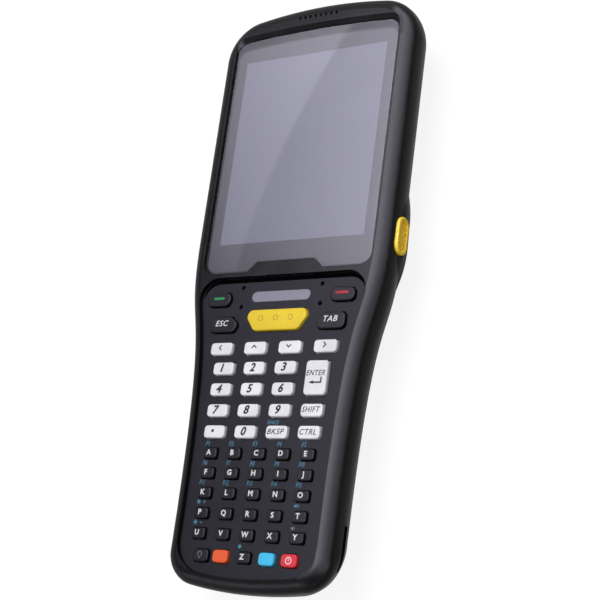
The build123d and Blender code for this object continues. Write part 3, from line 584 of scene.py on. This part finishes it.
# -------------------------------------------------------------- keypad panel
PANEL_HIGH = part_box("keypad_panel")[1] / MM
PANEL_TOP, PANEL_HEAD = PANEL_HIGH.z, PANEL_HIGH.y
PANEL_STYLE = {"slant": 0.25, "heavy": 0.005}
FUNCTION_LEFT, FUNCTION_DROP = -21.1, 55.9      # place of F1; drops are from PANEL_HEAD
ROW_PITCH = 6.35
SPACE_PLACE = (3.2, 48.95)
SUN_PLUS, SUN_MINUS = (-21.2, 74.9), (-21.4, 81.5)
SPEAKER, MUTE = (16.1, 75.1), (16.0, 82.0)
DOT_OVER_Z = (-2.94, 88.4)
# painted shade along the head edge of the keypad recess: its inset, gap, corner radius
# and width
RECESS_SHADE_INSET, RECESS_SHADE_GAP = 0.5, 0.15                # from the panel's sides and head edge
RECESS_SHADE_RADIUS, RECESS_SHADE_WIDTH = 6.6, 1.5


def on_panel(place):
    across, drop = place
    return across, PANEL_HEAD - drop


def function_names():
    """Second functions F1 to F15 and SPACE, printed on the panel over their keys."""
    art = Artwork()
    for place in range(15):
        row, column = divmod(place, 5)
        name = f"F{place + 1}"
        x, y = on_panel((FUNCTION_LEFT + column * LETTER_PITCH,
                         FUNCTION_DROP + row * ROW_PITCH))
        width = 0.95 + 0.4 * len(name)
        art.text(name, x, y, PANEL_TOP, 1.5, width, **PANEL_STYLE)
    art.text("SPACE", *on_panel(SPACE_PLACE), PANEL_TOP, 1.2, 4.5, **PANEL_STYLE)
    art.piece("function_names", "casing", "key_blue")


def sun_sign(art, x, y, plus):
    """Brightness sign: a sun and a plus or minus."""
    art.plate(circle(x, y, radius=0.5, count=16), PANEL_TOP)
    start, end, line = 0.65, 0.95, 0.2
    for turn in range(0, 360, 60):
        across, up = math.cos(math.radians(turn)), math.sin(math.radians(turn))
        art.stroke([(x + across * start, y + up * start),
                    (x + across * end, y + up * end)], line, PANEL_TOP)
    middle, long, short = x + 2.2, 0.5, 0.14
    if plus:
        art.bar(middle - short, middle + short, y - long, y + long, PANEL_TOP)
    art.bar(middle - long, middle + long, y - short, y + short, PANEL_TOP)


def speaker_sign(art, x, y, waves):
    """Volume sign: a loudspeaker and its sound waves."""
    back, cone, small, wide = x - 0.9, x - 0.5, 0.28, 0.7
    art.plate([(back, y - small), (cone, y - small), (x, y - wide), (x, y + wide),
               (cone, y + small), (back, y + small)], PANEL_TOP)
    for place in range(waves):
        art.stroke(arc(x, y, 0.45 + 0.4 * place, -45, 45, 8), 0.18, PANEL_TOP)


def panel_signs():
    art = Artwork()
    sun_sign(art, *on_panel(SUN_PLUS), True)
    sun_sign(art, *on_panel(SUN_MINUS), False)
    speaker_sign(art, *on_panel(SPEAKER), 2)
    art.plate(circle(*on_panel(DOT_OVER_Z), radius=0.6, count=16), PANEL_TOP)
    art.piece("panel_signs", "casing", "key_blue")
    art = Artwork()
    speaker_sign(art, *on_panel(MUTE), 1)
    art.piece("mute_sign", "casing", "key_white", inks["grey"])


def recess_head_shade():
    """Painted shade: a black band on the keypad panel along the head edge of its
    recess, standing for the recess's head wall and the shadow it casts.
    """
    flank = PANEL_HIGH.x - RECESS_SHADE_INSET - RECESS_SHADE_RADIUS
    shoulder = PANEL_HEAD - RECESS_SHADE_GAP - RECESS_SHADE_RADIUS
    edge = arc(flank, shoulder, RECESS_SHADE_RADIUS, 12, 90)
    edge += arc(-flank, shoulder, RECESS_SHADE_RADIUS, 90, 168)
    art = Artwork()
    art.plate(edge + [(x, y - RECESS_SHADE_WIDTH) for x, y in reversed(edge)], PANEL_TOP)
    # the seal_rubber ink here is black painted shade, not a rubber seal
    art.piece("recess_head_shade", "casing", "seal_rubber")


function_names()
panel_signs()
recess_head_shade()


# -------------------------------------------------------------- display
ACTIVE_HALF = 28.2                              # half width of the active area
ACTIVE_FOOT, ACTIVE_HEAD = 10.35, 8.9           # from the glass's ends
GLASS_CORNER = 4.2
HEAD_POINTS = 20
LAYER_STEP = 0.00003                            # each layer's top over the one below
# piece, inset, inset at the head edge, two shades between which the print wavers
GLASS_LAYERS = [
    ("glass_edge_line", 0.1, 0.1, (8, 8, 10), (11, 11, 13)),
    # the edge band is painted shade: a dark band for the rim's shadow and its
    # reflection on the display, 2.2 wide at the head edge and thin at the sides
    ("glass_edge_shade_band", 0.4, 2.2, (44, 44, 48), (40, 40, 44)),
    ("glass_border", 0.6, 3.0, (84, 83, 92), (80, 79, 88)),
]
ACTIVE_SHADES = (117, 116, 133), (114, 113, 130)


def on_glass(inset, head_inset):
    """Outline of the glass, moved inwards: arched head edge, round corners."""
    half = glass_high.x - inset
    top, base = glass_high.y - head_inset, glass_low.y + inset
    radius = GLASS_CORNER - inset
    flank = half - radius
    shoulder = top - GLASS_ARCH * (flank / half) ** 2 - radius
    points = arc(flank, shoulder, radius, 0, 86, 10)
    for step in range(1, HEAD_POINTS):
        x = flank * (1 - 2 * step / HEAD_POINTS)
        points.append((x, top - GLASS_ARCH * (x / half) ** 2))
    points += arc(-flank, shoulder, radius, 94, 180, 10)
    points += arc(-flank, base + radius, radius, 180, 270, 10)
    points += arc(flank, base + radius, radius, 270, 360, 10)
    return points


def printed(name, colour, other, rough=0.45):
    """Even print behind the glass: faint clouds and a fine tooth."""
    s = Shader(name)
    clouds = s.ranged(s.noise(30 * MM, detail=3.0), NOISE_LOW, NOISE_HIGH, smooth=True)
    tooth = s.noise(1.2 * MM)
    base = s.mixed(clouds, colour, other)
    base = s.mixed(s.ranged(tooth, NOISE_LOW, NOISE_HIGH, to_high=0.1), base,
                   scaled(colour, 0.97))
    return s.finish(s.principled(
        Base_Color=base, Specular_IOR_Level=0.05,
        Roughness=s.ranged(tooth, NOISE_LOW, NOISE_HIGH, rough, rough + 0.06),
        Normal=s.bumped(tooth, 0.0003 * MM)))


def display_print():
    """Print behind the glass: edge line, a band of painted shade along the edge, border
    and active area.
    """
    base = glass_low.z + LAYER_STEP
    for name, inset, head_inset, colour, other in GLASS_LAYERS:
        art = Artwork()
        art.plate(on_glass(inset, head_inset), base)
        art.piece(name, "casing", "lcd_panel",
                  printed(name, linear(*colour), linear(*other)))
        base += LAYER_STEP
    colour, other = ACTIVE_SHADES
    art = Artwork()
    art.bar(-ACTIVE_HALF, ACTIVE_HALF, glass_low.y + ACTIVE_FOOT,
            glass_high.y - ACTIVE_HEAD, base)
    art.piece("display_area", "casing", "lcd_panel",
              printed("display_area", linear(*colour), linear(*other)))


display_print()


# -------------------------------------------------------------- stage, all in metres
FLOOR_SIZE = 8.0
FLOOR_DROP = 0.1 * MM               # the flat back stands on z = 0
FLOOR_SHADES = (0.18, 0.18, 0.18, 1), (0.17, 0.17, 0.17, 1)
FLOOR_SEEN, FLOOR_MIRRORED = 0.87, 0.35         # its glow, straight and in reflections
WORLD_LEVEL, WORLD_MIRRORED = 0.48, 0.9
LAMP_PLACE, LAMP_TURN = (0.12, 0.25, 0.9), (-15.5, 0, 0)
LAMP_SIZE, LAMP_POWER = (0.5, 0.4), 5.6

CARD_CORNERS = [(-1.0, -1.4, 0.6), (-1.0, 0.45, 0.6), (-0.15, 0.45, 0.6),
                (0.1, 1.6, 0.6), (2.6, 1.6, 0.6), (2.6, -1.4, 0.6),
                (2.6, 1.6, 0.0), (2.6, -1.4, 0.0)]
CARD_FACES = [(0, 1, 2, 3, 4, 5), (5, 4, 6, 7)]
CARD_COLOUR = (0.96, 0.94, 1.1, 1)
STEP_LINE = 0.949, -0.244, -0.4468              # x on the step: (a * y + b) * y + c
STEP_SLOPE, STEP_HALF = 0.94, 0.002
# rise across and along the card, and the range of the sum that goes dim to bright
LEFT_FIELD, RIGHT_FIELD = (21.6, 17.9, 3.53, 8.23), (24.3, 11.4, 2.73, 7.43)
FIELD_DIM, FIELD_BRIGHT = 0.3, 5.0
SIDE_PEAK, SIDE_BASE = 11.0, 2.6                # glow for the casing's right rim
SIDE_PACE = 2.6, -2.0, 0.4                      # its decay: a * min(y, c) + b
FOOT_GLOW = 3.6                                 # glow for the rim at the foot

CAMERA_PLACE = (0.25659, -0.133055, 0.39149)
CAMERA_RIGHT = (0.83841, 0.12865, -0.52964)
CAMERA_UP = (0.04376, 0.95272, 0.30069)
CAMERA_BACK = (0.54328, -0.27528, 0.79314)
CAMERA_SENSOR, CAMERA_LENS, CAMERA_CLIP = 36.0, 85.59, (0.01, 50.0)


def floor():
    """White floor that keeps the terminal's shadow and is not seen from below."""
    bpy.ops.mesh.primitive_plane_add(size=FLOOR_SIZE, location=(0, 0, -FLOOR_DROP))
    made = bpy.context.object
    made.name = "floor"
    s = Shader("floor")
    path = s.node("ShaderNodeLightPath")
    sides = s.node("ShaderNodeNewGeometry")
    seen = s.math("MAXIMUM", path.outputs["Is Camera Ray"],
                  path.outputs["Is Transmission Ray"])
    mirrored = s.math("MULTIPLY", path.outputs["Is Glossy Ray"], FLOOR_MIRRORED)
    matte = s.principled(Base_Color=s.mixed(s.noise(0.3), *FLOOR_SHADES),
                         Roughness=0.9, Specular_IOR_Level=0.0)
    glow = s.node("ShaderNodeEmission")
    s.link(s.math("MULTIPLY_ADD", seen, FLOOR_SEEN, mirrored), glow.inputs["Strength"])
    both = s.node("ShaderNodeAddShader")
    s.link(matte, both.inputs[0])
    s.link(glow.outputs["Emission"], both.inputs[1])
    from_below = s.math("MULTIPLY", sides.outputs["Backfacing"],
                        path.outputs["Is Camera Ray"])
    clear = s.node("ShaderNodeBsdfTransparent")
    made.data.materials.append(s.finish(s.layered(
        from_below, both.outputs["Shader"], clear.outputs["BSDF"])))


def world():
    """White when seen straight, dimmer in reflections, dimmer still as a light."""
    made = bpy.data.worlds.new("studio")
    bpy.context.scene.world = made
    made.use_nodes = True
    tree = made.node_tree
    tree.nodes.clear()
    path = tree.nodes.new("ShaderNodeLightPath")
    seen = tree.nodes.new("ShaderNodeMath")
    seen.operation = "MAXIMUM"
    tree.links.new(path.outputs["Is Camera Ray"], seen.inputs[0])
    tree.links.new(path.outputs["Is Transmission Ray"], seen.inputs[1])
    either = tree.nodes.new("ShaderNodeMath")
    either.operation = "MULTIPLY_ADD"
    either.inputs[1].default_value = WORLD_MIRRORED
    tree.links.new(path.outputs["Is Glossy Ray"], either.inputs[0])
    tree.links.new(seen.outputs["Value"], either.inputs[2])
    level = tree.nodes.new("ShaderNodeMapRange")
    level.inputs["To Min"].default_value = WORLD_LEVEL
    tree.links.new(either.outputs["Value"], level.inputs["Value"])
    back = tree.nodes.new("ShaderNodeBackground")
    back.inputs["Color"].default_value = (1, 1, 1, 1)
    tree.links.new(level.outputs["Result"], back.inputs["Strength"])
    out = tree.nodes.new("ShaderNodeOutputWorld")
    tree.links.new(back.outputs["Background"], out.inputs["Surface"])


def lamp():
    """Rectangular soft lamp over the head end; it shines along its own -Z."""
    light = bpy.data.lights.new("soft_light", "AREA")
    light.shape = "RECTANGLE"
    light.size, light.size_y = LAMP_SIZE
    light.energy = LAMP_POWER
    made = bpy.data.objects.new("soft_light", light)
    bpy.context.scene.collection.objects.link(made)
    made.location = LAMP_PLACE
    made.rotation_euler = [math.radians(angle) for angle in LAMP_TURN]


def card_field(s, past_step, y, field):
    """Level of the card on one side of its step, brighter to the right and head."""
    across, along, low, high = field
    rise = s.math("ADD", s.math("MULTIPLY", past_step, across),
                  s.math("MULTIPLY", y, along))
    return s.ranged(rise, low, high, FIELD_DIM, FIELD_BRIGHT)


def card_level(s):
    """Strength of the card's glow over its x and y."""
    x, y = s.axis("X"), s.axis("Y")
    a, b, c = STEP_LINE
    line = s.math("MULTIPLY_ADD", s.math("MULTIPLY_ADD", y, a, b), y, c)
    past_step = s.math("MULTIPLY", s.math("SUBTRACT", x, line), STEP_SLOPE)
    left = card_field(s, past_step, y, LEFT_FIELD)
    right = card_field(s, past_step, y, RIGHT_FIELD)
    step = s.ranged(past_step, -STEP_HALF, STEP_HALF)
    field = s.math("ADD", left,
                   s.math("MULTIPLY", step, s.math("SUBTRACT", right, left)))
    a, b, c = SIDE_PACE
    pace = s.math("MULTIPLY_ADD", s.math("MINIMUM", y, c), a, b)
    decay = s.math("EXPONENT", s.math("MULTIPLY", x, pace))
    side = s.math("MULTIPLY_ADD", decay, SIDE_PEAK, SIDE_BASE)
    off_head = s.math("MAXIMUM", s.ranged(y, 0.44, 0.37), s.ranged(x, -0.2, 0.1))
    off_foot = s.ranged(y, -0.2, -0.08)
    near = s.math("MULTIPLY", s.ranged(x, -0.325, -0.22), off_head)
    near = s.math("MULTIPLY", near, off_foot)
    total = s.math("MULTIPLY_ADD", near, s.math("SUBTRACT", side, field), field)
    foot = s.math("MULTIPLY", s.ranged(y, -0.35, -0.75, 0.0, FOOT_GLOW),
                  s.ranged(x, -0.1, -0.3))
    return s.math("ADD", total, foot)


def studio_card():
    """Bright card over the terminal, seen only in reflections.

    A slanted step across it draws the edge of the glare on the display glass. The
    rest of it lights the rounded edges of the casing at the right and at the foot.
    """
    mesh = bpy.data.meshes.new("studio_card")
    mesh.from_pydata(CARD_CORNERS, [], CARD_FACES)
    made = bpy.data.objects.new("studio_card", mesh)
    bpy.context.scene.collection.objects.link(made)
    s = Shader("studio_card")
    glow = s.node("ShaderNodeEmission")
    s.link(card_level(s), glow.inputs["Strength"])
    glow.inputs["Color"].default_value = CARD_COLOUR
    mesh.materials.append(s.finish(glow.outputs["Emission"]))
    made.visible_camera = made.visible_diffuse = made.visible_shadow = False
    made.visible_transmission = False


def camera():
    data = bpy.data.cameras.new("camera")
    data.sensor_width = CAMERA_SENSOR
    data.lens = CAMERA_LENS
    data.clip_start, data.clip_end = CAMERA_CLIP
    made = bpy.data.objects.new("camera", data)
    bpy.context.scene.collection.objects.link(made)
    turn = Matrix((CAMERA_RIGHT, CAMERA_UP, CAMERA_BACK)).transposed().to_4x4()
    made.matrix_world = Matrix.Translation(CAMERA_PLACE) @ turn
    bpy.context.scene.camera = made


floor()
world()
camera()
lamp()
studio_card()
bpy.context.scene.view_settings.view_transform = "Standard"
